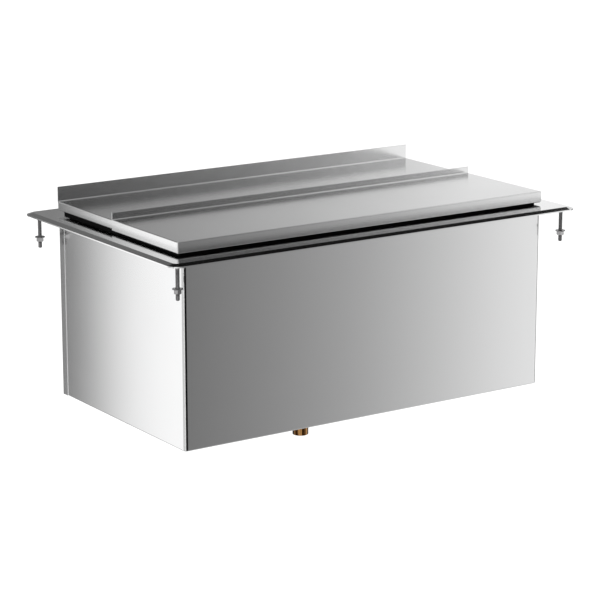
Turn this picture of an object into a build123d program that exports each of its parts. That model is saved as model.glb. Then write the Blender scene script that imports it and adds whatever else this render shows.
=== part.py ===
from build123d import *
import math
import os

# Insulated ice bin that drops into a worktop cut-out and hangs there by its rim.
# Frame: X along the bin's length, -Y its front, +Z up, origin at the middle of the worktop cut-out
# in the plane of the worktop's top, where the rim's lower edge rests. Lengths are in millimetres.

# Casing outside
body_length = 812.8
body_depth = 457.2
casing_drop = 353.2

# Rim
rim_overhang = 50.8
rim_sheet = 1.2
rim_corner_radius = 20.0
rim_bevel_width = 10.7
rim_bevel_drop = 3.6
rim_hem_height = 2.4

# Casing, back and bottom
casing_sheet = 0.9
casing_corner_radius = 6.5
casing_edge_radius = 2.0
casing_bottom_return = 14.0
casing_top_return = 12.0
back_lap = 19.0
back_corner_radius = 2.0
return_corner_gap = 0.5
bottom_panel_margin = 1.5
bottom_panel_corner = 7.0
rivet_radius = 1.6
rivet_head_radius = 3.2
rivet_head_height = 1.0
rivet_head_round = 0.6
rivet_tail = 1.2
rivet_clearance = 0.1
rivet_row_shares = (-0.36, -0.12, 0.12, 0.36)
rivet_side_shares = (-0.28, 0.0, 0.28)

# Covers
cover_side_overhang = 6.8
cover_end_inset = 6.2
cover_sheet = 0.9
cover_bend_radius = 1.8
cover_slide_gap = 0.3
cover_crease_radius = 1.5
upstand_top_round = 0.8
front_cover_height = 21.2
front_upstand_height = 13.0
rear_upstand_height = 28.2
cover_split_y = 11.0
cover_overlap = 17.0
cover_nest_gap = 1.2
front_return_width = 19.0
rear_return_width = 32.0
stiffener_end_gap = 14.0
stiffener_crown = 26.0
stiffener_flange = 10.0
stiffener_height = 12.0

# Glides, runners and stops under the covers
glide_thickness = 0.8
glide_inset = 2.0
runner_wing = 0.8
runner_pass_gap = 1.0
runner_lip = 2.0
runner_lip_drop = 5.0
runner_start_y = 0.5
runner_end_margin = 22.0
runner_lip_inset = 20.0
runner_outer_inset = 1.0
stop_side_gap = 66.8
stop_width = 24.0
stop_plate = 1.5
stop_grip = 12.0
stop_lip = 6.0
stop_lip_drop = 9.2

# Black strip round the bin's mouth, between the rim and the liner
breaker_inset = 9.0
breaker_width = 25.4
breaker_thickness = 4.0
breaker_lip = 2.0
breaker_lip_drop = 12.0
breaker_corner_radius = 3.0
fit_gap = 0.2

# Liner and insulation
liner_sheet = 1.2
liner_corner_radius = 19.0
liner_cove_radius = 12.0
liner_flange_width = 11.5
liner_bridge_gap = 1.2
liner_gasket_thickness = 1.0
floor_insulation = 32.0
floor_pitch = 8.0
floor_sump_half = 44.0
foam_gap = 0.3

# Drain
drain_y = 4.6
drain_tail_reach = 94.8
drain_tail_radius = 15.88
drain_tail_bore = 14.5
drain_thread_radius = 16.7
drain_thread_reach = 14.8
drain_tail_chamfer = 0.8
drain_lip_radius = 38.0
drain_lip_height = 1.5
drain_cup_radius = 26.0
drain_cup_wall = 2.0
drain_cup_depth = 13.0
drain_cup_floor = 3.0
drain_seat_depth = 3.0
drain_seat_width = 3.0
drain_collar_wall = 4.6
drain_collar_length = 15.0
drain_hole_gap = 0.3
drain_socket_gap = 0.05
drain_gasket_thickness = 2.0
drain_gasket_width = 8.0
backnut_flats = 68.0
backnut_height = 8.0
drain_washer_width = 11.0
locknut_flats = 46.0
locknut_height = 9.0
panel_hole_gap = 1.1
drain_plate_width = 120.0
drain_plate_corner = 6.0
drain_plate_overlap = 16.0
drain_window_corner = 8.0

# Strainer
strainer_gap = 0.3
strainer_sheet = 1.2
strainer_hole_radius = 1.7
strainer_inner_ring = 9.5
strainer_outer_ring = 15.5
strainer_inner_count = 8
strainer_outer_count = 14
knob_stem_radius = 2.5
knob_stem_height = 5.5
knob_radius = 5.5
knob_height = 4.0
knob_edge_radius = 1.2

# Hold-down studs with their washers and nuts
stud_inset = 22.9
stud_radius = 4.0
stud_thread_radius = 3.8
stud_shank_length = 10.0
stud_end_z = -63.5
stud_end_round = 1.5
stud_collar_radius = 6.5
stud_collar_height = 1.0
washer_hole_radius = 4.2
washer_radius = 9.7
washer_thickness = 1.6
washer_top_z = -41.4
nut_flats = 13.0
nut_height = 8.0
nut_thread_gap = 0.05
nut_top_chamfer = 0.4
nut_end_chamfer = 1.6

# How far every cut runs past the faces that it goes through
overrun = 5.0

# Levels and half sizes worked out from the sizes above
rim_length = body_length + 2 * rim_overhang
rim_depth = body_depth + 2 * rim_overhang
cover_length = body_length + 2 * cover_side_overhang
cover_depth = body_depth - 2 * cover_end_inset
rim_top = rim_hem_height + rim_bevel_drop
rim_under = rim_top - rim_sheet
half_x = body_length / 2
half_y = body_depth / 2
inner_x = half_x - casing_sheet
inner_y = half_y - casing_sheet
casing_bottom = -casing_drop
panel_under = casing_bottom + casing_sheet
panel_top = panel_under + casing_sheet
drain_thread_end_z = casing_bottom - drain_thread_reach
drain_end_z = casing_bottom - drain_tail_reach

breaker_top = rim_top + breaker_thickness
breaker_out_x = cover_length / 2 - breaker_inset
breaker_out_y = cover_depth / 2 - breaker_inset
mouth_x = breaker_out_x - breaker_width
mouth_y = breaker_out_y - breaker_width
liner_x = mouth_x + breaker_lip + fit_gap
liner_y = mouth_y + breaker_lip + fit_gap
rim_open_x = liner_x + liner_sheet + liner_bridge_gap
rim_open_y = liner_y + liner_sheet + liner_bridge_gap
rim_open_radius = liner_corner_radius + liner_sheet + liner_bridge_gap
liner_top = rim_under - liner_gasket_thickness
floor_drain_z = panel_top + floor_insulation + liner_sheet
floor_edge_z = floor_drain_z + floor_pitch

front_cover_bottom = breaker_top + glide_thickness
front_cover_top = front_cover_bottom + front_cover_height
rear_cover_top = front_cover_top - cover_sheet - cover_slide_gap
rear_cover_bottom = front_cover_bottom + cover_sheet + cover_nest_gap + runner_wing
front_x = cover_length / 2
rear_x = front_x - cover_sheet - cover_slide_gap
cover_y = cover_depth / 2
rear_cover_front_y = cover_split_y - cover_overlap
upstand_thickness = 2 * cover_sheet

stud_x = rim_length / 2 - stud_inset
stud_y = rim_depth / 2 - stud_inset
corners = {
    "front_left": (-stud_x, -stud_y),
    "front_right": (stud_x, -stud_y),
    "rear_left": (-stud_x, stud_y),
    "rear_right": (stud_x, stud_y),
}


def slab(x0, x1, y0, y1, z0, z1):
    """A block between two corners."""
    middle = Pos((x0 + x1) / 2, (y0 + y1) / 2, (z0 + z1) / 2)
    return middle * Box(abs(x1 - x0), abs(y1 - y0), abs(z1 - z0))


def rounded_slab(x0, x1, y0, y1, z0, z1, radius):
    """A block with all of its edges rounded."""
    block = slab(x0, x1, y0, y1, z0, z1)
    return fillet(block.edges(), radius)


def plate(reach_x, reach_y, radius, z0, z1):
    """An upright prism with a rounded rectangle for its outline, centred on the origin."""
    outline = RectangleRounded(2 * reach_x, 2 * reach_y, radius)
    return Pos(0, 0, z0) * extrude(outline, z1 - z0)


def post(x, y, radius, z0, z1):
    """An upright cylinder between two levels."""
    return Pos(x, y, (z0 + z1) / 2) * Cylinder(radius, z1 - z0)


def tube(x, y, outer, inner, z0, z1):
    """An upright pipe between two levels."""
    return post(x, y, outer, z0, z1) - post(x, y, inner, z0 - overrun, z1 + overrun)


def hex_nut(x, y, flats, bore, z0, z1):
    """An upright hexagonal nut with a plain bore."""
    outline = RegularPolygon(flats / 2, 6, major_radius=False)
    prism = Pos(x, y, z0) * extrude(outline, z1 - z0)
    return prism - post(x, y, bore, z0 - overrun, z1 + overrun)


def rivet_places():
    """Middles of the rivets that hold the bottom panel to the returns round it, and the drain plate to it."""
    row_y = half_y - casing_bottom_return / 2
    side_x = half_x - casing_bottom_return / 2
    places = []
    for share in rivet_row_shares:
        places.append((share * body_length, -row_y))
        places.append((share * body_length, row_y))
    for share in rivet_side_shares:
        places.append((-side_x, share * body_depth))
        places.append((side_x, share * body_depth))
    plate_reach = (drain_plate_width - drain_plate_overlap) / 2
    for x in (-plate_reach, plate_reach):
        for y in (drain_y - plate_reach, drain_y + plate_reach):
            places.append((x, y))
    return places


def drilled(shape):
    """The shape with the rivets' holes through it."""
    for x, y in rivet_places():
        hole = post(x, y, rivet_radius + rivet_clearance, casing_bottom - overrun, panel_top + overrun)
        shape = shape - hole
    return shape


def make_rim():
    """Flat rim with its edge bevelled down all round and ending in a short upright hem."""
    slope = rim_bevel_drop / rim_bevel_width
    upright_sheet = rim_sheet / math.cos(math.atan(slope))
    inner_start = rim_hem_height + slope * rim_sheet - upright_sheet
    inner_inset = (rim_under - rim_hem_height + upright_sheet) / slope

    def layer(inset, z):
        outline = RectangleRounded(
            rim_length - 2 * inset,
            rim_depth - 2 * inset,
            rim_corner_radius - inset,
        )
        return Pos(0, 0, z) * outline

    hem = extrude(layer(0, 0), rim_hem_height)
    bevel = loft([layer(0, rim_hem_height), layer(rim_bevel_width, rim_top)], ruled=True)
    below = extrude(layer(rim_sheet, -overrun), inner_start + overrun)
    hollow = loft([layer(rim_sheet, inner_start), layer(inner_inset, rim_under)], ruled=True)
    mouth = plate(rim_open_x, rim_open_y, rim_open_radius, rim_under - overrun, rim_top + overrun)
    return (hem + bevel) - (below + hollow) - mouth


def make_breaker_strips():
    """Four mitred lengths of the black strip: a bar on the rim with a lip down inside the liner."""
    lip_bottom = breaker_top - breaker_lip_drop
    mouth_radius = liner_corner_radius - fit_gap - breaker_lip
    bar = plate(breaker_out_x, breaker_out_y, breaker_corner_radius, rim_top, breaker_top)
    lip = plate(
        mouth_x + breaker_lip,
        mouth_y + breaker_lip,
        mouth_radius + breaker_lip,
        lip_bottom,
        breaker_top,
    )
    frame = bar + lip - plate(mouth_x, mouth_y, mouth_radius, lip_bottom - overrun, breaker_top + overrun)
    far_x = breaker_out_x + overrun
    far_y = breaker_out_y + overrun
    near_x = mouth_x - liner_corner_radius
    near_y = mouth_y - liner_corner_radius
    gap = fit_gap / 2
    front = [(-far_x + gap, -far_y), (far_x - gap, -far_y), (near_x - gap, -near_y), (-near_x + gap, -near_y)]
    right = [(far_x, -far_y + gap), (far_x, far_y - gap), (near_x, near_y - gap), (near_x, -near_y + gap)]
    wedges = {
        "front": front,
        "rear": [(-x, -y) for x, y in front],
        "right": right,
        "left": [(-x, -y) for x, y in right],
    }
    height = breaker_lip_drop + 2 * overrun
    strips = {}
    for side, points in wedges.items():
        wedge = Pos(0, 0, lip_bottom - overrun) * extrude(make_face(Polyline(*points, close=True)), height)
        strips["breaker_strip_" + side] = frame & wedge
    return strips


def tub(grow, top):
    """The liner's hollow with its coved corners and pitched floor, grown outwards by a wall."""
    block = plate(
        liner_x + grow,
        liner_y + grow,
        liner_corner_radius + grow,
        floor_edge_z - grow,
        top,
    )
    floor_edges = block.faces().sort_by(Axis.Z)[0].edges()
    block = fillet(floor_edges, liner_cove_radius + grow)
    edge = Rectangle(2 * (liner_x - liner_corner_radius), 2 * (liner_y - liner_corner_radius))
    sump = Rectangle(2 * floor_sump_half, 2 * floor_sump_half)
    pitch = loft(
        [
            Pos(0, 0, floor_edge_z - grow) * edge,
            Pos(0, drain_y, floor_drain_z - grow) * sump,
        ],
        ruled=True,
    )
    return block + pitch


def make_liner():
    """Inner tub with a flange turned out under the rim and a hole for the drain."""
    flange = plate(
        liner_x + liner_flange_width,
        liner_y + liner_flange_width,
        liner_corner_radius + liner_flange_width,
        liner_top - liner_sheet,
        liner_top,
    )
    shell = tub(liner_sheet, liner_top) + flange
    hole_radius = drain_cup_radius + drain_hole_gap
    hole = post(0, drain_y, hole_radius, floor_drain_z - overrun, floor_drain_z + overrun)
    return shell - tub(0, liner_top + overrun) - hole


def make_liner_gasket():
    """Flat gasket between the liner's flange and the rim's underside."""
    ring = plate(
        liner_x + liner_flange_width,
        liner_y + liner_flange_width,
        liner_corner_radius + liner_flange_width,
        liner_top,
        rim_under,
    )
    return ring - plate(rim_open_x, rim_open_y, rim_open_radius, liner_top - overrun, rim_under + overrun)


def make_casing():
    """Front and both sides bent from one sheet, with returns inwards at the bottom and the top."""
    def box(inset, rear):
        block = slab(
            -half_x + inset,
            half_x - inset,
            -half_y + inset,
            rear,
            casing_bottom + inset,
            rim_under - inset,
        )
        upright = block.edges().filter_by(Axis.Z).group_by(Axis.Y)[0]
        block = fillet(upright, casing_corner_radius - inset)
        lower = block.faces().sort_by(Axis.Z)[0].edges().group_by(Axis.Y)[:-1]
        lower_edges = [edge for group in lower for edge in group]
        return fillet(lower_edges, casing_edge_radius - inset)

    def opening(width, z):
        return slab(
            -half_x + width,
            half_x - width,
            -half_y + width,
            half_y + 2 * overrun,
            z - overrun / 2,
            z + overrun / 2,
        )

    shell = box(0, half_y + overrun) - box(casing_sheet, half_y + 2 * overrun)
    shell = shell - opening(casing_bottom_return, casing_bottom)
    shell = shell - opening(casing_top_return, rim_under)
    behind = slab(
        -half_x - overrun,
        half_x + overrun,
        half_y - casing_sheet,
        half_y + 3 * overrun,
        casing_bottom - overrun,
        rim_under + overrun,
    )
    return drilled(shell - behind)


def make_back():
    """Back sheet whose side edges lap round the casing's sides."""
    sheet = slab(
        -half_x - casing_sheet,
        half_x + casing_sheet,
        half_y - back_lap,
        half_y,
        casing_bottom,
        rim_under,
    )
    rear_edges = sheet.edges().filter_by(Axis.Z).group_by(Axis.Y)[-1]
    sheet = fillet(rear_edges, back_corner_radius)
    hollow = slab(
        -half_x,
        half_x,
        half_y - back_lap - overrun,
        half_y - casing_sheet,
        casing_bottom - overrun,
        rim_under + overrun,
    )
    sheet = sheet - hollow

    def turned_in(width, z0, z1):
        reach = half_x - width - return_corner_gap
        return slab(-reach, reach, half_y - width, half_y - casing_sheet / 2, z0, z1)

    sheet = sheet + turned_in(casing_bottom_return, casing_bottom, panel_under)
    sheet = sheet + turned_in(casing_top_return, rim_under - casing_sheet, rim_under)
    return drilled(sheet)


def make_bottom():
    """Flat bottom panel that lies on the returns, with a window round the drain."""
    panel = plate(
        inner_x - bottom_panel_margin,
        inner_y - bottom_panel_margin,
        bottom_panel_corner,
        panel_under,
        panel_top,
    )
    half = drain_plate_width / 2 - drain_plate_overlap
    window = plate(half, half, drain_window_corner, panel_under - overrun, panel_top + overrun)
    return drilled(panel - Pos(0, drain_y, 0) * window)


def make_drain_plate():
    """Square plate under the bottom panel that closes the window round the drain's tail."""
    half = drain_plate_width / 2
    square = Pos(0, drain_y, 0) * plate(half, half, drain_plate_corner, casing_bottom, panel_under)
    low = casing_bottom - overrun
    hole = post(0, drain_y, drain_thread_radius + panel_hole_gap, low, panel_under + overrun)
    return drilled(square - hole)


def make_rivets():
    """Blind rivets with their heads under the returns."""
    rivets = []
    for x, y in rivet_places():
        shank = post(x, y, rivet_radius, casing_bottom, panel_top + rivet_tail)
        head = post(x, y, rivet_head_radius, casing_bottom - rivet_head_height, casing_bottom)
        lower_rim = head.edges().group_by(Axis.Z)[0]
        head = fillet(lower_rim, rivet_head_round)
        rivets.append(shank + head)
    return Compound(children=rivets)


def make_foam():
    """Foam that fills the space between the liner, the casing and the bottom."""
    reach_x = inner_x - foam_gap
    reach_y = inner_y - foam_gap
    block = plate(
        reach_x,
        reach_y,
        casing_corner_radius,
        panel_top,
        liner_top - liner_sheet - foam_gap,
    )
    block = block - tub(liner_sheet + foam_gap, liner_top)
    nut_room = backnut_flats / math.sqrt(3) + foam_gap
    cup_bottom = floor_drain_z - drain_cup_depth
    block = block - post(0, drain_y, nut_room, cup_bottom - foam_gap, floor_drain_z)
    collar_room = drain_thread_radius + drain_collar_wall + foam_gap
    block = block - post(0, drain_y, collar_room, panel_top - overrun, floor_drain_z)
    for x, y in rivet_places():
        pocket = post(x, y, rivet_head_radius, panel_top - overrun, panel_top + rivet_tail + foam_gap)
        block = block - pocket
    return block


def make_drain_flange():
    """Flanged cup in the floor with a seat for the strainer and a round outlet."""
    top = floor_drain_z + drain_lip_height
    cup_bottom = floor_drain_z - drain_cup_depth
    seat_radius = drain_cup_radius - drain_cup_wall
    lip = post(0, drain_y, drain_lip_radius, floor_drain_z, top)
    lip = fillet(lip.edges().group_by(Axis.Z)[-1], drain_lip_height / 2)
    shape = lip + post(0, drain_y, drain_cup_radius, cup_bottom, floor_drain_z)
    shape = shape - post(0, drain_y, seat_radius, top - drain_seat_depth, top + overrun)
    shape = shape - post(0, drain_y, seat_radius - drain_seat_width, cup_bottom + drain_cup_floor, top)
    return shape - post(0, drain_y, drain_tail_bore, cup_bottom - overrun, top)


def make_drain_coupling():
    """Brass collar brazed under the cup, into which the tail pipe screws."""
    top = floor_drain_z - drain_cup_depth
    outer = drain_thread_radius + drain_collar_wall
    return tube(0, drain_y, outer, drain_thread_radius + drain_socket_gap, top - drain_collar_length, top)


def make_drain_gasket():
    """Rubber ring between the liner's floor and the back nut."""
    under = floor_drain_z - liner_sheet
    inner = drain_cup_radius + drain_socket_gap
    return tube(0, drain_y, inner + drain_gasket_width, inner, under - drain_gasket_thickness, under)


def make_backnut():
    """Large nut that clamps the drain's cup to the liner's floor."""
    top = floor_drain_z - liner_sheet - drain_gasket_thickness
    return hex_nut(0, drain_y, backnut_flats, drain_cup_radius + drain_socket_gap, top - backnut_height, top)


def make_drain_tail():
    """Brass tail pipe, threaded from the collar to below the bottom and plain from there down."""
    top = floor_drain_z - drain_cup_depth
    pipe = post(0, drain_y, drain_tail_radius, drain_end_z, drain_thread_end_z)
    pipe = chamfer(pipe.edges().group_by(Axis.Z)[0], drain_tail_chamfer)
    thread = post(0, drain_y, drain_thread_radius, drain_thread_end_z, top)
    thread = chamfer(thread.edges().group_by(Axis.Z)[0], drain_thread_radius - drain_tail_radius)
    return pipe + thread - post(0, drain_y, drain_tail_bore, drain_end_z - overrun, top + overrun)


def make_drain_washer():
    """Rubber washer under the drain plate."""
    inner = drain_thread_radius + drain_socket_gap
    low = casing_bottom - drain_gasket_thickness
    return tube(0, drain_y, inner + drain_washer_width, inner, low, casing_bottom)


def make_locknut():
    """Brass nut on the tail pipe that holds the washer against the drain plate."""
    top = casing_bottom - drain_gasket_thickness
    bore = drain_thread_radius + drain_socket_gap
    return hex_nut(0, drain_y, locknut_flats, bore, top - locknut_height, top)


def strainer_level():
    """Height of the strainer's underside."""
    return floor_drain_z + drain_lip_height - drain_seat_depth


def make_strainer():
    """Perforated disc that lies on the seat in the drain's cup."""
    low = strainer_level()
    radius = drain_cup_radius - drain_cup_wall - strainer_gap
    disc = post(0, drain_y, radius, low, low + strainer_sheet)
    rings = ((strainer_inner_ring, strainer_inner_count), (strainer_outer_ring, strainer_outer_count))
    for ring_radius, count in rings:
        for i in range(count):
            turn = 2 * math.pi * i / count
            x = ring_radius * math.cos(turn)
            y = drain_y + ring_radius * math.sin(turn)
            disc = disc - post(x, y, strainer_hole_radius, low - overrun, low + overrun)
    return disc


def make_knob():
    """Small mushroom knob to lift the strainer by."""
    low = strainer_level() + strainer_sheet
    stem_top = low + knob_stem_height
    stem = post(0, drain_y, knob_stem_radius, low, stem_top)
    cap = post(0, drain_y, knob_radius, stem_top, stem_top + knob_height)
    cap = fillet(cap.edges().filter_by(GeomType.CIRCLE), knob_edge_radius)
    return stem + cap


def make_studs():
    """Four studs under the rim's corners, each with a welded collar, a plain shank and a thread."""
    studs = []
    for x, y in corners.values():
        collar_low = rim_under - stud_collar_height
        collar = post(x, y, stud_collar_radius, collar_low, rim_under)
        shank_low = collar_low - stud_shank_length
        shank = post(x, y, stud_radius, shank_low, collar_low)
        thread = post(x, y, stud_thread_radius, stud_end_z, shank_low)
        thread = fillet(thread.edges().group_by(Axis.Z)[0], stud_end_round)
        studs.append(collar + shank + thread)
    return Compound(children=studs)


def make_washer(x, y):
    """Flat washer on a stud."""
    return tube(x, y, washer_radius, washer_hole_radius, washer_top_z - washer_thickness, washer_top_z)


def make_nut(x, y):
    """Hexagonal nut under the washer, its corners chamfered, most of all at the free end."""
    top = washer_top_z - washer_thickness
    low = top - nut_height
    nut = hex_nut(x, y, nut_flats, stud_thread_radius + nut_thread_gap, low, top)
    turned = post(x, y, nut_flats / math.sqrt(3), low, top)
    turned = chamfer(turned.edges().group_by(Axis.Z)[0], nut_end_chamfer)
    turned = chamfer(turned.edges().group_by(Axis.Z)[-1], nut_top_chamfer)
    return nut & turned


def make_front_cover():
    """Shallow pan, open at the back, whose top turns up along its rear edge as an upstand."""
    rear = cover_split_y
    outer = rounded_slab(
        -front_x,
        front_x,
        -cover_y,
        rear + overrun,
        front_cover_bottom,
        front_cover_top,
        cover_bend_radius,
    )
    inner = rounded_slab(
        -front_x + cover_sheet,
        front_x - cover_sheet,
        -cover_y + cover_sheet,
        rear + 2 * overrun,
        front_cover_bottom + cover_sheet,
        front_cover_top - cover_sheet,
        cover_bend_radius - cover_sheet,
    )
    mouth = slab(
        -front_x + front_return_width,
        front_x - front_return_width,
        -cover_y + front_return_width,
        rear + 2 * overrun,
        front_cover_bottom - overrun,
        front_cover_bottom + overrun,
    )
    behind = slab(
        -front_x - overrun,
        front_x + overrun,
        rear,
        rear + 3 * overrun,
        front_cover_bottom - overrun,
        front_cover_top + overrun,
    )
    pan = outer - inner - mouth - behind
    low = front_cover_top - cover_sheet
    upstand = make_upstand(front_x, rear, low, front_cover_top + front_upstand_height)
    bend = crease(front_x - cover_bend_radius, rear - upstand_thickness, front_cover_top)
    return pan + upstand + bend


def make_upstand(reach, rear, low, high):
    """Double sheet with a rounded top that stands along a cover's rear edge."""
    wall = slab(-reach, reach, rear - upstand_thickness, rear, low, high)
    top_edges = wall.edges().filter_by(Axis.X).group_by(Axis.Z)[-1]
    return fillet(top_edges, upstand_top_round)


def crease(reach, y, z):
    """Rounded inner corner of the bend where a cover's top meets its upstand."""
    radius = cover_crease_radius
    fill = slab(-reach, reach, y - radius, y + cover_sheet, z - cover_sheet, z + radius)
    axis = Pos(0, y - radius, z + radius) * Rot(0, 90, 0)
    return fill - axis * Cylinder(radius, 2 * reach + overrun)


def make_rear_cover():
    """Shallow pan with a tall upstand along its rear edge, in one plane with its rear skirt."""
    front = rear_cover_front_y
    outer = rounded_slab(
        -rear_x,
        rear_x,
        front,
        cover_y,
        rear_cover_bottom,
        rear_cover_top,
        cover_bend_radius,
    )
    inner = rounded_slab(
        -rear_x + cover_sheet,
        rear_x - cover_sheet,
        front + cover_sheet,
        cover_y - cover_sheet,
        rear_cover_bottom + cover_sheet,
        rear_cover_top - cover_sheet,
        cover_bend_radius - cover_sheet,
    )
    mouth = slab(
        -rear_x + rear_return_width,
        rear_x - rear_return_width,
        front + cover_bend_radius,
        cover_y - rear_return_width,
        rear_cover_bottom - overrun,
        rear_cover_bottom + overrun,
    )
    pan = outer - inner - mouth
    low = rear_cover_top - cover_bend_radius - cover_sheet
    upstand = make_upstand(rear_x, cover_y, low, rear_cover_top + rear_upstand_height)
    bend = crease(rear_x - cover_bend_radius, cover_y - upstand_thickness, rear_cover_top)
    return pan + upstand + bend


def make_stiffener():
    """Hat channel under the middle of the rear cover's top."""
    middle = (rear_cover_front_y + cover_y) / 2
    top = rear_cover_top - cover_sheet
    low = top - stiffener_height
    crown = stiffener_crown / 2
    half_length = rear_x - stiffener_end_gap
    outer = slab(-half_length, half_length, middle - crown, middle + crown, low, top)
    outer = fillet(outer.edges().filter_by(Axis.X).group_by(Axis.Z)[0], cover_bend_radius)
    inner = slab(
        -half_length - overrun,
        half_length + overrun,
        middle - crown + cover_sheet,
        middle + crown - cover_sheet,
        low + cover_sheet,
        top + overrun,
    )
    reach = crown + stiffener_flange
    flange = slab(
        -half_length,
        half_length,
        middle - reach,
        middle + reach,
        top - cover_sheet,
        top,
    )
    return outer + flange - inner


def make_side_runner(side):
    """Black runner under one of the rear cover's side returns, with a lip inside the bin's mouth."""
    pad_out = front_x - front_return_width - runner_pass_gap
    lip_out = mouth_x - cover_slide_gap
    lip_in = lip_out - runner_lip
    wing_out = rear_x - runner_outer_inset
    end = cover_y - runner_end_margin
    top = rear_cover_bottom
    lip_end = mouth_y - runner_lip_inset
    pad = slab(lip_in, pad_out, runner_start_y, end, breaker_top, top)
    wing = slab(pad_out - runner_lip, wing_out, runner_start_y, end, top - runner_wing, top)
    lip = slab(lip_in, lip_out, runner_start_y, lip_end, breaker_top - runner_lip_drop, top)
    runner = pad + wing + lip
    return runner if side > 0 else mirror(runner, Plane.YZ)


def make_rear_runner():
    """Black runner under the rear cover's rear return, with a lip inside the bin's mouth."""
    lip_out = mouth_y - cover_slide_gap
    lip_in = lip_out - runner_lip
    pad_out = cover_y - front_return_width - runner_pass_gap
    wing_out = cover_y - cover_sheet - runner_outer_inset
    reach = mouth_x - cover_slide_gap - runner_lip - fit_gap
    lip_reach = mouth_x - runner_lip_inset
    top = rear_cover_bottom
    pad = slab(-reach, reach, lip_in, pad_out, breaker_top, top)
    wing = slab(-reach, reach, pad_out - runner_lip, wing_out, top - runner_wing, top)
    lip = slab(-lip_reach, lip_reach, lip_in, lip_out, breaker_top - runner_lip_drop, top)
    return pad + wing + lip


def make_side_glide(side):
    """Thin black tape under one of the front cover's side returns."""
    x0 = front_x - front_return_width
    x1 = front_x - glide_inset
    y0 = -cover_y + front_return_width
    y1 = cover_split_y - glide_inset
    glide = slab(x0, x1, y0, y1, breaker_top, front_cover_bottom)
    return glide if side > 0 else mirror(glide, Plane.YZ)


def make_front_glide():
    """Thin black tape under the front cover's front return."""
    reach = front_x - glide_inset
    y0 = -cover_y + glide_inset
    y1 = -cover_y + front_return_width - fit_gap
    return slab(-reach, reach, y0, y1, breaker_top, front_cover_bottom)


def make_stops():
    """Two hooks on the front return that stop the closed cover from sliding forwards."""
    low = front_cover_bottom + cover_sheet
    top = low + stop_plate
    hook_out = -mouth_y + cover_slide_gap
    hook_in = hook_out + stop_lip
    grip = -cover_y + front_return_width - stop_grip
    stops = []
    reach = mouth_x - stop_side_gap - stop_width / 2
    for place in (-reach, reach):
        x0 = place - stop_width / 2
        x1 = place + stop_width / 2
        bar = slab(x0, x1, grip, hook_in, low, top)
        hook = slab(x0, x1, hook_out, hook_in, top - stop_lip_drop, top)
        stops.append(bar + hook)
    return Compound(children=stops)


parts = {
    "rim_frame": make_rim(),
    "ice_liner": make_liner(),
    "liner_gasket": make_liner_gasket(),
    "outer_casing": make_casing(),
    "back_panel": make_back(),
    "bottom_panel": make_bottom(),
    "drain_plate": make_drain_plate(),
    "bottom_rivets": make_rivets(),
    "foam_insulation": make_foam(),
    "drain_flange": make_drain_flange(),
    "drain_coupling": make_drain_coupling(),
    "drain_gasket": make_drain_gasket(),
    "drain_backnut": make_backnut(),
    "drain_tail": make_drain_tail(),
    "drain_washer": make_drain_washer(),
    "drain_locknut": make_locknut(),
    "strainer_disc": make_strainer(),
    "strainer_knob": make_knob(),
    "rim_studs": make_studs(),
    "front_cover": make_front_cover(),
    "front_cover_glide_left": make_side_glide(-1),
    "front_cover_glide_right": make_side_glide(1),
    "front_cover_glide_front": make_front_glide(),
    "front_cover_stops": make_stops(),
    "rear_cover": make_rear_cover(),
    "rear_cover_stiffener": make_stiffener(),
    "rear_cover_runner_left": make_side_runner(-1),
    "rear_cover_runner_right": make_side_runner(1),
    "rear_cover_runner_back": make_rear_runner(),
}
parts.update(make_breaker_strips())
for corner, (place_x, place_y) in corners.items():
    parts["washer_" + corner] = make_washer(place_x, place_y)
    parts["nut_" + corner] = make_nut(place_x, place_y)

os.makedirs("parts", exist_ok=True)
for name, shape in parts.items():
    export_step(shape, "parts/" + name + ".step")
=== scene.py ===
import math
from collections import namedtuple

import bmesh
import bpy
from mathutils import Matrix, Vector


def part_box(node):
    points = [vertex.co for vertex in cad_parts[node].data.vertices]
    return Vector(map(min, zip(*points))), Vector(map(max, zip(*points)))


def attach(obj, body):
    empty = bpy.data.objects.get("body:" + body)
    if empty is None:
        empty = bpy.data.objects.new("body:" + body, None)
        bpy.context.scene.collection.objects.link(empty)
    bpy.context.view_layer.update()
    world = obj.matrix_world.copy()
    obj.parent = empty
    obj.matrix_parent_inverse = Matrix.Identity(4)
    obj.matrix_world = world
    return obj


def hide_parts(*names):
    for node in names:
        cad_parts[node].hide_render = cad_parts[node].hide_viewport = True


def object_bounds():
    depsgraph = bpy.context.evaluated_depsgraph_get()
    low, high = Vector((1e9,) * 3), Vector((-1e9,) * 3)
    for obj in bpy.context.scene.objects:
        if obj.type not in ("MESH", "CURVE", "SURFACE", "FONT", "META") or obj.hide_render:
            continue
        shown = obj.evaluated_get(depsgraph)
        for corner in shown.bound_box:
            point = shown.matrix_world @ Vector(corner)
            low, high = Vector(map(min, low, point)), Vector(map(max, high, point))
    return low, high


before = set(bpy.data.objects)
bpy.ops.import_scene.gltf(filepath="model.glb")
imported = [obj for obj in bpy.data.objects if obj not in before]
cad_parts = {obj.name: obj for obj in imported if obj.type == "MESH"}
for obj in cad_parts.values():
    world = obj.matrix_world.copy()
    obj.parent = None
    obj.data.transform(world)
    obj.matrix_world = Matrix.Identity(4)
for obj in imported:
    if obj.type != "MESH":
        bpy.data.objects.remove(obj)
cad_low, cad_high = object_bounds()
scene = bpy.context.scene
scene.view_settings.view_transform = "Standard"

# Camera, fitted to the photograph's corners and edges
CAMERA_AZIMUTH = math.radians(-33.93)
CAMERA_ELEVATION = math.radians(13.89)
CAMERA_DISTANCE = 4.5606
CAMERA_TARGET = Vector((-0.0041, 0.0, -0.1742))
CAMERA_LENS = 140.45
CAMERA_SENSOR = 36.0
CAMERA_REACH = 200.0

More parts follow.
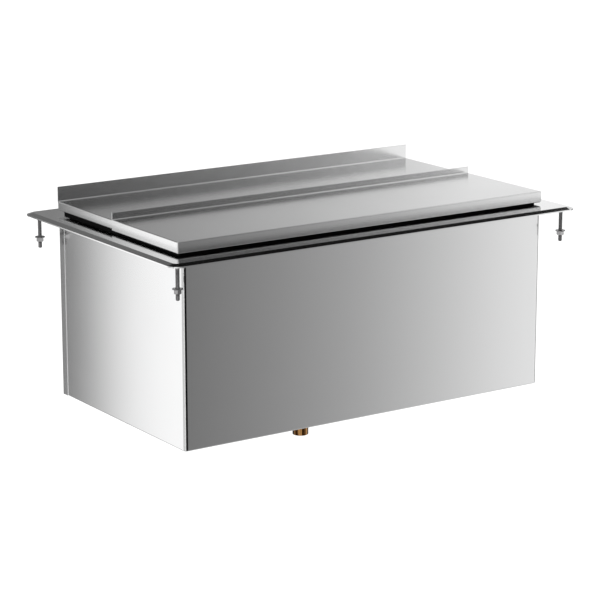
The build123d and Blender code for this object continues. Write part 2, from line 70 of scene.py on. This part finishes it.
# Floor, world and sun
FLOOR_DROP = 1.0
FLOOR_SIZE = 80.0
FLOOR_COLOR = (0.93, 0.93, 0.93, 1.0)
WORLD_COLOR = (1.0, 1.0, 1.0, 1.0)
SUN_STRENGTH = 0.9
SUN_WIDTH = math.radians(40)
SUN_TURN = (math.radians(18), math.radians(-12), 0)

# Light tent round the bin, in metres
TENT_LEFT = -1.9
TENT_RIGHT = 2.7
TENT_FRONT = -1.6
TENT_REAR = 1.6
TENT_LOW = -1.44
TENT_TOP = 2.0
LOWER_REAR = 1.35
FRONT_SEAM = 0.1
REAR_SEAM = -0.1
MIDDLE_LEFT = -0.3
MIDDLE_RIGHT = 0.45
CEILING_SEAM = 0.6
CEILING_SPLIT = 0.0

# Dark flag: its reach from the casing's front left bend, its levels and its light
FLAG_LEFT = 0.0106
FLAG_RIGHT = 0.0144
FLAG_GAP = 0.0164
FLAG_LOW = -0.38
FLAG_TOP = -0.01
FLAG_LIGHT = 0.003

# Brushed steel, with the scale of its grain for each metre
GRAIN_ALONG = 6.0
GRAIN_ACROSS = 900.0
GRAIN_LINE = (1.0, 0.01, 0.0)
STEEL_SHADE = (0.965, 0.968, 0.972)
STEEL_SPREAD = 0.03
FACING = 0.7

# Turned metal and moulded pieces
RING_SCALE = (60.0, 60.0, 2500.0)
# Streaks along the brass pipe, painted reflection stripes: their scale, and where they turn from dark to
# bright.
STREAK_SCALE = (230.0, 230.0, 5.0)
STREAK_START = 0.46
STREAK_END = 0.58
FASTENER_SHADE = (0.82, 0.8, 0.78)
FASTENER_SPREAD = 0.06
FASTENER_GROOVE = 0.00004
BRASS_GROOVE = 0.00003
MOULDED_SPREAD = 0.08

# Turned pieces, in metres
Thread = namedtuple("Thread", "pitch crest root tip taper")
Nut = namedtuple("Nut", "flats bore low_chamfer top_chamfer bore_chamfer")
CORNERS = ("front_left", "front_right", "rear_left", "rear_right")
MERGE_DISTANCE = 1e-6
SHARP_ANGLE = math.radians(24)
STUD_COLUMNS = 32
COLUMNS = 96
THREAD_FLAT = 0.12
THREAD_ROWS = 6
NUT_SLOPE = 0.8
HEX_NUT = Nut(flats=0.013, bore=0.0039, low_chamfer=0.0016, top_chamfer=0.0005, bore_chamfer=0.0004)
LOCKNUT = Nut(flats=0.046, bore=0.0168, low_chamfer=0.0022, top_chamfer=0.0006, bore_chamfer=0.0006)
WASHER_OUTER = 0.0097
WASHER_INNER = 0.0042
WASHER_EDGE = 0.0004

# Outlines of the stud and the pipe, as radii with distances from the upper or the lower end
STUD_THREAD = Thread(pitch=0.00125, crest=0.0038, root=0.0034, tip=0.003, taper=0.0012)
STUD_BEAD = ((0.0, 0.0), (0.0064, 0.0), (0.0064, 0.0004), (0.0056, 0.0009), (0.0047, 0.0011),
             (0.0042, 0.0015))
STUD_SHANK = ((0.004, 0.0022), (0.004, 0.0105), (0.0038, 0.0112))
STUD_THREAD_TOP = 0.0116
STUD_THREAD_END = 0.0006
STUD_END = ((0.0026, 0.0002), (0.002, 0.0), (0.0, 0.0))
PIPE_THREAD = Thread(pitch=0.0022, crest=0.0167, root=0.01585, tip=0.0159, taper=0.002)
PIPE_HEAD = ((0.0145, 0.0), (0.0167, 0.0), (0.0167, 0.017))
PIPE_THREAD_TOP = 0.018
PIPE_THREAD_END = 0.0366
PIPE_NECK = ((0.01588, 0.0372),)
PIPE_END = ((0.01588, 0.0009), (0.01572, 0.0004), (0.0152, 0.0), (0.0149, 0.0), (0.0145, 0.0005))


class Finish:
    """A material whose colour, roughness and bump come from noise over the object's coordinates."""

    def __init__(self, name, metallic=0.0):
        self.material = bpy.data.materials.new(name)
        self.material.use_nodes = True
        self.nodes = self.material.node_tree.nodes
        self.links = self.material.node_tree.links
        self.shader = self.nodes["Principled BSDF"]
        self.shader.inputs["Metallic"].default_value = metallic
        coordinates = self.nodes.new("ShaderNodeTexCoord")
        self.place = coordinates.outputs["Object"]
        self.normal = coordinates.outputs["Normal"]

    def noise(self, source, scale, detail, roughness):
        """Noise over the given coordinates."""
        node = self.nodes.new("ShaderNodeTexNoise")
        node.inputs["Scale"].default_value = scale
        node.inputs["Detail"].default_value = detail
        node.inputs["Roughness"].default_value = roughness
        self.links.new(source, node.inputs["Vector"])
        return node.outputs["Fac"]

    def cloud(self, scale, detail, roughness):
        """Noise that is as fine along every axis."""
        return self.noise(self.place, scale, detail, roughness)

    def streaks(self, scales, detail, roughness):
        """Noise with its own scale along each axis."""
        mapping = self.nodes.new("ShaderNodeMapping")
        mapping.inputs["Scale"].default_value = scales
        self.links.new(self.place, mapping.inputs["Vector"])
        return self.noise(mapping.outputs["Vector"], 1.0, detail, roughness)

    def calculate(self, operation, *operands):
        """Result of a math node. Each operand is a number or another node's output."""
        node = self.nodes.new("ShaderNodeMath")
        node.operation = operation
        for socket, operand in zip(node.inputs, operands):
            if isinstance(operand, float):
                socket.default_value = operand
            else:
                self.links.new(operand, socket)
        return node.outputs["Value"]

    def tint(self, share, first, second):
        """Base colour from the first colour to the second one."""
        mix = self.nodes.new("ShaderNodeMix")
        mix.data_type = "RGBA"
        mix.inputs["A"].default_value = (*first, 1.0)
        mix.inputs["B"].default_value = (*second, 1.0)
        self.links.new(share, mix.inputs["Factor"])
        self.links.new(mix.outputs["Result"], self.shader.inputs["Base Color"])

    def roughen(self, share, roughness, spread):
        """Roughness from one spread below the given one to one spread above it."""
        node = self.nodes.new("ShaderNodeMapRange")
        node.inputs["To Min"].default_value = roughness - spread
        node.inputs["To Max"].default_value = roughness + spread
        self.links.new(share, node.inputs["Value"])
        self.links.new(node.outputs["Result"], self.shader.inputs["Roughness"])

    def emboss(self, height, depth):
        """Bump with a depth in metres."""
        bump = self.nodes.new("ShaderNodeBump")
        bump.inputs["Distance"].default_value = depth
        self.links.new(height, bump.inputs["Height"])
        self.links.new(bump.outputs["Normal"], self.shader.inputs["Normal"])


def brushed_steel(name, tone, roughness, grain_depth, painted_front_highlight=False, stretch=0.0):
    """Stainless sheet, brushed along its length, with the grain turned on the faces that look along X.

    Where asked for, every face of the sheet that looks forwards is matt instead of metallic, so the cut
    edges there show bright: a sheared edge is matt, and picking only the forward faces paints a highlight
    on them. The stretch is how far reflections are drawn out across the grain.
    """
    steel = Finish(name, metallic=1.0)
    along_x = steel.streaks((GRAIN_ALONG, GRAIN_ACROSS, GRAIN_ACROSS), detail=3.0, roughness=0.6)
    along_y = steel.streaks((GRAIN_ACROSS, GRAIN_ALONG, GRAIN_ACROSS), detail=3.0, roughness=0.6)
    facing = steel.nodes.new("ShaderNodeSeparateXYZ")
    steel.links.new(steel.normal, facing.inputs["Vector"])
    grain = steel.nodes.new("ShaderNodeMix")
    turned = steel.calculate("GREATER_THAN", steel.calculate("ABSOLUTE", facing.outputs["X"]), FACING)
    steel.links.new(turned, grain.inputs["Factor"])
    steel.links.new(along_x, grain.inputs["A"])
    steel.links.new(along_y, grain.inputs["B"])
    lines = grain.outputs["Result"]
    cloud = steel.cloud(scale=9.0, detail=2.0, roughness=0.5)
    half_cloud = steel.calculate("MULTIPLY", cloud, 0.5)
    steel.tint(lines, [tone * shade for shade in STEEL_SHADE], (tone, tone, tone))
    steel.roughen(steel.calculate("MULTIPLY_ADD", lines, 0.5, half_cloud), roughness, STEEL_SPREAD)
    steel.emboss(lines, grain_depth)
    if stretch:
        draw_across(steel, stretch)
    if painted_front_highlight:
        # Faces that look forwards lose their metal and show bright and matt: painted highlight on the cut
        # edges.
        not_facing_front = steel.calculate("GREATER_THAN", facing.outputs["Y"], -FACING)
        steel.links.new(not_facing_front, steel.shader.inputs["Metallic"])
    return steel.material


def draw_across(steel, stretch):
    """Draws a steel's reflections out across its grain, which runs along X.

    The grain's line has a hair of Y, so that a face that looks along X has a direction too.
    """
    steel.shader.inputs["Anisotropic"].default_value = stretch
    across = steel.nodes.new("ShaderNodeVectorMath")
    across.operation = "CROSS_PRODUCT"
    across.inputs[1].default_value = GRAIN_LINE
    steel.links.new(steel.normal, across.inputs[0])
    steel.links.new(across.outputs["Vector"], steel.shader.inputs["Tangent"])


def turned_metal(name, color, roughness):
    """Turned or rolled metal with fine rings and a cloudy finish."""
    metal = Finish(name, metallic=1.0)
    cloud = metal.cloud(scale=180.0, detail=3.0, roughness=0.6)
    metal.tint(cloud, [part * shade for part, shade in zip(color, FASTENER_SHADE)], color)
    metal.roughen(cloud, roughness, FASTENER_SPREAD)
    metal.emboss(metal.streaks(RING_SCALE, detail=2.0, roughness=0.5), FASTENER_GROOVE)
    return metal.material


def drawn_brass(name, dark, bright, roughness, spread):
    """Drawn brass with dark and bright streaks along its length, which are painted reflection stripes,
    and fine turning marks.
    """
    brass = Finish(name, metallic=1.0)
    share = brass.nodes.new("ShaderNodeMapRange")
    share.interpolation_type = "SMOOTHSTEP"
    share.inputs["From Min"].default_value = STREAK_START
    share.inputs["From Max"].default_value = STREAK_END
    # Dark and bright streaks along the pipe: painted reflection stripes.
    painted_stripes = brass.streaks(STREAK_SCALE, detail=2.0, roughness=0.55)
    brass.links.new(painted_stripes, share.inputs["Value"])
    brass.tint(share.outputs["Result"], dark, bright)
    brass.roughen(brass.cloud(scale=180.0, detail=3.0, roughness=0.6), roughness, spread)
    brass.emboss(brass.streaks(RING_SCALE, detail=2.0, roughness=0.5), BRASS_GROOVE)
    return brass.material


def moulded(name, color, lift, gloss, roughness, grain_scale, grain_depth):
    """Moulded plastic, rubber or foam with a fine grain. The lift is how much paler it gets in places."""
    plastic = Finish(name)
    plastic.shader.inputs["Specular IOR Level"].default_value = gloss
    grain = plastic.cloud(grain_scale, detail=4.0, roughness=0.6)
    cloud = plastic.cloud(scale=25.0, detail=2.0, roughness=0.5)
    plastic.tint(cloud, color, [part + lift for part in color])
    plastic.roughen(grain, roughness, MOULDED_SPREAD)
    plastic.emboss(grain, grain_depth)
    return plastic.material


def dress(material, *names):
    """Gives CAD nodes their material."""
    for name in names:
        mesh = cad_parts[name].data
        for slot in range(len(mesh.materials)):
            mesh.materials[slot] = material


def named(*starts):
    """CAD nodes whose names start with one of the words."""
    return [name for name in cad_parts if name.startswith(starts)]


def thread_radius(angle, level, thread):
    """Radius of a helical thread at an angle and a level."""
    phase = (level / thread.pitch - angle / math.tau) % 1.0
    flank = (abs(2 * phase - 1) - THREAD_FLAT) / (1 - 2 * THREAD_FLAT)
    return thread.root + (thread.crest - thread.root) * min(1.0, max(0.0, flank))


def thread_rows(angle, start, end, thread):
    """Rows of a thread from one level down to another, deepening over a turn and tapered at its end."""
    rows = []
    count = round((start - end) / thread.pitch * THREAD_ROWS)
    for row in range(count + 1):
        level = start + (end - start) * row / count
        depth = min(1.0, row / THREAD_ROWS)
        radius = thread.crest + (thread_radius(angle, level, thread) - thread.crest) * depth
        rise = min(1.0, (level - end) / thread.taper)
        rows.append((min(radius, thread.tip + (thread.crest - thread.tip) * rise), level))
    return rows


def below(top, outline):
    """Rows of an outline whose distances are measured down from a level."""
    return [(radius, top - distance) for radius, distance in outline]


def above(low, outline):
    """Rows of an outline whose distances are measured up from a level."""
    return [(radius, low + distance) for radius, distance in outline]


def stud_profile(low, top):
    """A welded stud: a bead under the rim, a plain shank and a thread with a rounded end."""
    def profile(angle):
        thread = thread_rows(angle, top - STUD_THREAD_TOP, low + STUD_THREAD_END, STUD_THREAD)
        return below(top, STUD_BEAD + STUD_SHANK) + thread + above(low, STUD_END)
    return profile


def pipe_profile(low, top):
    """The drain's brass tail: threaded where the locknut sits, then plain, with its end deburred."""
    def profile(angle):
        thread = thread_rows(angle, top - PIPE_THREAD_TOP, top - PIPE_THREAD_END, PIPE_THREAD)
        return below(top, PIPE_HEAD) + thread + below(top, PIPE_NECK) + above(low, PIPE_END)
    return profile


def nut_profile(nut, low, top):
    """A hexagonal nut with its corners turned off at both ends and a countersunk bore."""
    corner = nut.flats / math.sqrt(3)
    mouth = nut.bore + nut.bore_chamfer

    def profile(angle):
        turn = math.degrees(angle) % 60 - 30
        reach = nut.flats / 2 / math.cos(math.radians(turn))
        low_cut = max(0.0, reach - corner + nut.low_chamfer)
        top_cut = max(0.0, reach - corner + nut.top_chamfer)
        return [(mouth, low), (reach - low_cut, low), (reach, low + low_cut * NUT_SLOPE),
                (reach, top - top_cut * NUT_SLOPE), (reach - top_cut, top), (mouth, top),
                (nut.bore, top - nut.bore_chamfer), (nut.bore, low + nut.bore_chamfer)]
    return profile


def washer_profile(low, top):
    """A punched flat washer with rolled upper edges and sharper lower ones, the same at every angle."""
    half, roll = WASHER_EDGE / 2, WASHER_EDGE * 0.3
    rows = [(WASHER_INNER + half, low), (WASHER_OUTER - half, low), (WASHER_OUTER, low + half),
            (WASHER_OUTER, top - WASHER_EDGE), (WASHER_OUTER - roll, top - roll),
            (WASHER_OUTER - WASHER_EDGE, top), (WASHER_INNER + WASHER_EDGE, top),
            (WASHER_INNER + roll, top - roll), (WASHER_INNER, top - WASHER_EDGE),
            (WASHER_INNER, low + half)]
    return lambda angle: rows


def turned_mesh(name, profile, places, columns=COLUMNS, closed=True):
    """One turned solid at each place. The profile gives rows of radius and level for an angle.

    A closed profile joins its last row to its first, as round a bore.
    """
    shape = bmesh.new()
    for x, y in places:
        rings = []
        for column in range(columns):
            angle = math.tau * column / columns
            across, along = math.cos(angle), math.sin(angle)
            rings.append([shape.verts.new((x + r * across, y + r * along, z)) for r, z in profile(angle)])
        count = len(rings[0])
        for column, ring in enumerate(rings):
            following = rings[(column + 1) % columns]
            for row in range(count if closed else count - 1):
                upper = (row + 1) % count
                shape.faces.new((ring[row], following[row], following[upper], ring[upper]))
    bmesh.ops.remove_doubles(shape, verts=shape.verts[:], dist=MERGE_DISTANCE)
    bmesh.ops.dissolve_degenerate(shape, dist=MERGE_DISTANCE, edges=shape.edges[:])
    bmesh.ops.recalc_face_normals(shape, faces=shape.faces[:])
    mesh = bpy.data.meshes.new(name)
    shape.to_mesh(mesh)
    shape.free()
    mesh.shade_smooth()
    mesh.set_sharp_from_angle(angle=SHARP_ANGLE)
    return mesh


def add_piece(mesh, material, body, replaced):
    """A piece named after its mesh, which rides on a body and replaces a CAD node."""
    mesh.materials.append(material)
    piece = bpy.data.objects.new(mesh.name, mesh)
    scene.collection.objects.link(piece)
    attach(piece, body)
    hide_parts(replaced)


def span_of(node):
    """Middle of a CAD node seen from above, with its lowest and highest level."""
    low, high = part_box(node)
    return ((low.x + high.x) / 2, (low.y + high.y) / 2), low.z, high.z


def make_fasteners():
    """Threaded studs, rolled washers and chamfered nuts at the rim's four corners."""
    places = []
    for corner in CORNERS:
        body = "clamp_" + corner
        place, low, top = span_of("washer_" + corner)
        places.append(place)
        washer = turned_mesh("flat_washer_" + corner, washer_profile(low, top), [place])
        # The washer takes the darker stud steel: painted shade for where it sits under the rim.
        add_piece(washer, SHADED_STUD_STEEL, body, "washer_" + corner)
        place, low, top = span_of("nut_" + corner)
        nut = turned_mesh("hex_nut_" + corner, nut_profile(HEX_NUT, low, top), [place])
        add_piece(nut, FASTENER, body, "nut_" + corner)
    _, low, top = span_of("rim_studs")
    profile = stud_profile(low, top)
    studs = turned_mesh("threaded_studs", profile, places, columns=STUD_COLUMNS, closed=False)
    # The studs take the darker stud steel: painted shade for where they hang under the rim.
    add_piece(studs, SHADED_STUD_STEEL, "bin", "rim_studs")


def make_drain():
    """Brass tail pipe and its locknut."""
    place, low, top = span_of("drain_tail")
    pipe = turned_mesh("tail_pipe", pipe_profile(low, top), [place])
    add_piece(pipe, BRASS, "bin", "drain_tail")
    place, low, top = span_of("drain_locknut")
    nut = turned_mesh("tail_locknut", nut_profile(LOCKNUT, low, top), [place])
    add_piece(nut, BRASS, "bin", "drain_locknut")


def stage_sheet(name, corners, material):
    """A flat sheet of the studio."""
    mesh = bpy.data.meshes.new(name)
    mesh.from_pydata(corners, [], [(0, 1, 2, 3)])
    mesh.materials.append(material)
    sheet = bpy.data.objects.new(name, mesh)
    scene.collection.objects.link(sheet)
    return sheet


def make_floor():
    """Plain pale floor, far enough below the bin that it lies clear of it."""
    paint = Finish("floor_paint")
    paint.shader.inputs["Base Color"].default_value = FLOOR_COLOR
    paint.shader.inputs["Roughness"].default_value = 1.0
    paint.shader.inputs["Specular IOR Level"].default_value = 0.0
    half = FLOOR_SIZE / 2
    level = cad_low.z - FLOOR_DROP
    corners = [(-half, -half, level), (half, -half, level), (half, half, level), (-half, half, level)]
    stage_sheet("floor", corners, paint.material)


def make_world():
    """Even white surroundings."""
    world = bpy.data.worlds.new("white_room")
    scene.world = world
    world.use_nodes = True
    world.node_tree.nodes["Background"].inputs["Color"].default_value = WORLD_COLOR
    world.node_tree.nodes["Background"].inputs["Strength"].default_value = 1.0


def make_sun():
    """Broad weak sun that gives the floor its soft shadow."""
    light = bpy.data.lights.new("sun", "SUN")
    light.energy = SUN_STRENGTH
    light.angle = SUN_WIDTH
    lamp = bpy.data.objects.new("sun", light)
    lamp.rotation_euler = SUN_TURN
    lamp.visible_glossy = False
    scene.collection.objects.link(lamp)


def make_camera():
    """Camera at the photograph's angle."""
    flat = math.cos(CAMERA_ELEVATION)
    back = Vector((math.sin(CAMERA_AZIMUTH) * flat, -math.cos(CAMERA_AZIMUTH) * flat,
                   math.sin(CAMERA_ELEVATION)))
    data = bpy.data.cameras.new("camera")
    data.sensor_width = CAMERA_SENSOR
    data.lens = CAMERA_LENS
    data.clip_end = CAMERA_REACH
    camera = bpy.data.objects.new("camera", data)
    camera.location = CAMERA_TARGET + back * CAMERA_DISTANCE
    camera.rotation_euler = (-back).to_track_quat("-Z", "Y").to_euler()
    scene.collection.objects.link(camera)
    scene.camera = camera


def ramp_color(nodes, links, source, stops):
    """Grey that follows a coordinate through stops, which are places in metres with their light."""
    low, high = stops[0][0], stops[-1][0]
    share = nodes.new("ShaderNodeMapRange")
    share.inputs["From Min"].default_value = low
    share.inputs["From Max"].default_value = high
    links.new(source, share.inputs["Value"])
    ramp = nodes.new("ShaderNodeValToRGB")
    links.new(share.outputs["Result"], ramp.inputs["Fac"])
    points = ramp.color_ramp.elements
    while len(points) < len(stops):
        points.new(1.0)
    for point, (place, light) in zip(points, stops):
        point.position = (place - low) / (high - low)
        point.color = (light, light, light, 1.0)
    return ramp.outputs["Color"]


def card_material(name, ramps):
    """A glow that is the product of two ramps. Each ramp has an axis and its stops."""
    material = bpy.data.materials.new(name)
    material.use_nodes = True
    nodes, links = material.node_tree.nodes, material.node_tree.links
    nodes.remove(nodes["Principled BSDF"])
    coordinates = nodes.new("ShaderNodeTexCoord")
    split = nodes.new("ShaderNodeSeparateXYZ")
    links.new(coordinates.outputs["Object"], split.inputs["Vector"])
    product = nodes.new("ShaderNodeMix")
    product.data_type = "RGBA"
    product.blend_type = "MULTIPLY"
    product.inputs["Factor"].default_value = 1.0
    for side, (axis, stops) in zip("AB", ramps):
        links.new(ramp_color(nodes, links, split.outputs[axis], stops), product.inputs[side])
    glow = nodes.new("ShaderNodeEmission")
    links.new(product.outputs["Result"], glow.inputs["Color"])
    links.new(glow.outputs["Emission"], nodes["Material Output"].inputs["Surface"])
    return material


def card(name, x, y, z):
    """A sheet of the light tent that only reflections see, square to the axis that has one place.

    The other two axes have stops, which are places with their light. Along each of them the sheet reaches
    from the first stop to the last one.
    """
    sides = [side if isinstance(side, list) else [(side, 1.0)] for side in (x, y, z)]
    first, second = [axis for axis in range(3) if len(sides[axis]) > 1]
    low = [stops[0][0] for stops in sides]
    high = [stops[-1][0] for stops in sides]
    corners = [list(low), list(low), list(high), list(high)]
    corners[1][first] = high[first]
    corners[3][first] = low[first]
    material = card_material(name, [(first, sides[first]), (second, sides[second])])
    sheet = stage_sheet(name, corners, material)
    sheet.visible_camera = False
    sheet.visible_diffuse = False
    sheet.visible_shadow = False
    sheet.visible_transmission = False


def even(low, high):
    """Stops of the same full light from one place to another."""
    return [(low, 1.0), (high, 1.0)]


def make_front_cards():
    """Front wall in two parts, and the flag that gives the casing's front left bend its black line."""
    card("front_wall", y=TENT_FRONT, z=even(TENT_LOW, FRONT_SEAM),
         x=[(TENT_LEFT, 1.1), (-1.3, 1.0), (-0.8, 0.7), (-0.4, 0.45), (0.0, 0.28), (0.27, 0.19),
            (0.4, 0.2), (0.47, 0.235), (0.7, 0.32), (0.95, 0.45), (1.2, 0.66), (1.5, 0.97), (1.8, 1.1),
            (TENT_RIGHT, 1.1)])
    foot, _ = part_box("outer_casing")
    card("corner_flag", y=foot.y - FLAG_GAP, z=even(FLAG_LOW, FLAG_TOP),
         x=[(foot.x - FLAG_LEFT, FLAG_LIGHT), (foot.x + FLAG_RIGHT, FLAG_LIGHT)])
    card("front_upper_wall", y=TENT_FRONT,
         x=[(TENT_LEFT, 1.0), (-0.9, 0.8), (-0.4, 0.55), (0.0, 0.3), (0.2, 0.12), (0.4, 0.08),
            (0.6, 0.1), (0.75, 0.14), (1.02, 0.22), (1.19, 0.29), (1.37, 0.4), (1.54, 0.55), (1.7, 0.75),
            (TENT_RIGHT, 1.0)],
         z=[(FRONT_SEAM, 1.2), (0.3, 1.2), (0.34, 2.8), (0.39, 2.8), (0.395, 0.52), (0.44, 0.44),
            (0.5, 0.38), (0.7, 0.2), (0.86, 0.15), (1.0, 1.5), (TENT_TOP, 1.8)])


def make_rear_cards():
    """Rear wall in three parts side by side over a nearer lower one."""
    card("rear_middle_wall", y=TENT_REAR,
         x=[(MIDDLE_LEFT, 0.17), (-0.06, 0.2), (0.09, 0.29), (0.2, 0.24), (0.3, 0.22),
            (MIDDLE_RIGHT, 0.3)],
         z=[(REAR_SEAM, 1.0), (0.26, 1.0), (0.34, 1.12), (0.52, 1.12), (0.72, 0.78), (1.0, 0.55),
            (1.25, 0.35), (1.5, 0.1), (TENT_TOP, 0.03)])
    card("rear_wall", y=TENT_REAR,
         x=[(MIDDLE_RIGHT, 0.3), (0.75, 0.405), (1.07, 0.54), (1.42, 0.74), (1.71, 0.93), (2.0, 0.96),
            (TENT_RIGHT, 0.9)],
         z=[(REAR_SEAM, 1.0), (0.26, 1.0), (0.34, 1.08), (0.52, 1.08), (0.72, 0.85), (1.5, 0.45),
            (1.85, 0.3), (TENT_TOP, 0.02)])
    card("rear_left_wall", y=TENT_REAR, z=even(REAR_SEAM, TENT_TOP),
         x=[(TENT_LEFT, 1.25), (-1.44, 1.1), (-1.34, 0.8), (-1.26, 0.47), (-1.19, 0.3), (-1.1, 0.24),
            (-0.6, 0.22), (MIDDLE_LEFT, 0.17)])
    card("rear_lower_wall", y=LOWER_REAR, z=even(TENT_LOW, REAR_SEAM),
         x=[(TENT_LEFT, 1.3), (-1.31, 1.28), (-1.255, 1.22), (-1.2, 1.15), (-1.14, 0.85), (-1.113, 0.67),
            (-1.085, 0.45), (-1.055, 0.305), (-1.027, 0.2), (-0.99, 0.17), (-0.9, 0.18), (-0.3, 0.4),
            (0.4, 0.55), (1.2, 0.42), (2.0, 0.55), (TENT_RIGHT, 0.7)])


def make_side_cards():
    """Left and right walls."""
    card("left_wall", x=TENT_LEFT, z=even(TENT_LOW, TENT_TOP),
         y=[(TENT_FRONT, 1.1), (-1.02, 1.1), (-0.95, 0.05), (-0.8, 0.05), (-0.73, 1.1), (-0.4, 0.85),
            (0.1, 0.6), (0.7, 0.8), (TENT_REAR, 1.1)])
    card("right_wall", x=TENT_RIGHT, z=even(TENT_LOW, TENT_TOP),
         y=[(TENT_FRONT, 1.0), (-0.9, 0.35), (-0.5, 0.12), (-0.2, 0.2), (0.4, 0.5), (TENT_REAR, 0.9)])


def make_level_cards():
    """Ceiling in three parts, and the card under the bin."""
    middle = [(0.3, 0.8), (0.7, 0.5), (0.95, 0.4), (1.3, 0.6), (1.75, 0.95), (TENT_RIGHT, 1.1)]
    card("ceiling", z=TENT_TOP,
         x=[(TENT_LEFT, 1.1), (-1.0, 1.0)] + middle,
         y=[(TENT_FRONT, 1.0), (0.1, 0.9), (CEILING_SEAM, 0.75)])
    card("rear_ceiling", z=TENT_TOP,
         x=[(CEILING_SPLIT, 0.85)] + middle,
         y=[(CEILING_SEAM, 0.75), (0.97, 0.004), (TENT_REAR, 0.003)])
    card("rear_left_ceiling", z=TENT_TOP,
         x=[(TENT_LEFT, 1.1), (-0.6, 0.9), (CEILING_SPLIT, 0.5)],
         y=[(CEILING_SEAM, 0.75), (TENT_REAR, 0.6)])
    card("floor_card", z=TENT_LOW,
         x=[(TENT_LEFT, 1.0), (-0.9, 0.75), (0.0, 0.62), (0.9, 0.75), (TENT_RIGHT, 1.0)],
         y=[(TENT_FRONT, 1.0), (-0.8, 0.72), (0.0, 0.6), (0.8, 0.72), (LOWER_REAR, 0.95)])


STEEL = brushed_steel("stainless_sheet", tone=0.78, roughness=0.15, grain_depth=0.00001)
COVER_STEEL = brushed_steel("stainless_cover", tone=0.78, roughness=0.17, grain_depth=0.00001,
                            stretch=0.75)
RIM_STEEL = brushed_steel("stainless_rim", tone=0.8, roughness=0.11, grain_depth=0.000006)
# Back panel steel whose forward-facing cut edges are matt and bright: painted highlight.
BACK_STEEL = brushed_steel("stainless_back", tone=0.78, roughness=0.15, grain_depth=0.00001, painted_front_highlight=True)
FASTENER = turned_metal("fastener_steel", color=(0.5, 0.5, 0.51), roughness=0.2)
# The same turned steel as the nuts, but much darker: painted shade and dark reflection for the studs and
# washers under the rim.
SHADED_STUD_STEEL = turned_metal("stud_steel_painted_shade", color=(0.27, 0.27, 0.275), roughness=0.22)
# Brass whose dark and bright streaks along the pipe are painted reflection stripes.
BRASS = drawn_brass("brass", dark=(0.05, 0.018, 0.004), bright=(0.62, 0.33, 0.12), roughness=0.18,
                    spread=0.05)
# Black plastic for the breaker strips, runners, glides and stops, made darker than black plastic is and
# nearly without gloss: painted shade for the shadowed gap under the covers.
BLACK_AND_GAP_SHADE = moulded("black_plastic", color=(0.0015, 0.0015, 0.0016), lift=0.002, gloss=0.03, roughness=0.45,
                grain_scale=1400.0, grain_depth=0.00004)
RUBBER = moulded("rubber", color=(0.02, 0.02, 0.02), lift=0.01, gloss=0.3, roughness=0.7,
                 grain_scale=900.0, grain_depth=0.00005)
FOAM = moulded("foam", color=(0.75, 0.68, 0.45), lift=0.06, gloss=0.2, roughness=0.85,
               grain_scale=700.0, grain_depth=0.0003)

dress(STEEL, "outer_casing", "bottom_panel", "drain_plate", "ice_liner", "drain_flange", "strainer_disc",
      "strainer_knob")
dress(COVER_STEEL, "front_cover", "rear_cover", "rear_cover_stiffener")
dress(RIM_STEEL, "rim_frame")
dress(BACK_STEEL, "back_panel")
dress(FASTENER, "rim_studs", "bottom_rivets", *named("washer_", "nut_"))
dress(BRASS, "drain_tail", "drain_locknut", "drain_backnut", "drain_coupling")
# The parts under the covers are black, and their near-black carries painted shade for the gap beneath the
# covers too.
dress(BLACK_AND_GAP_SHADE, *named("breaker_strip_", "rear_cover_runner_", "front_cover_glide_"), "front_cover_stops")
dress(RUBBER, "liner_gasket", "drain_gasket", "drain_washer")
dress(FOAM, "foam_insulation")

make_fasteners()
make_drain()
make_floor()
make_world()
make_sun()
make_front_cards()
make_rear_cards()
make_side_cards()
make_level_cards()
make_camera()
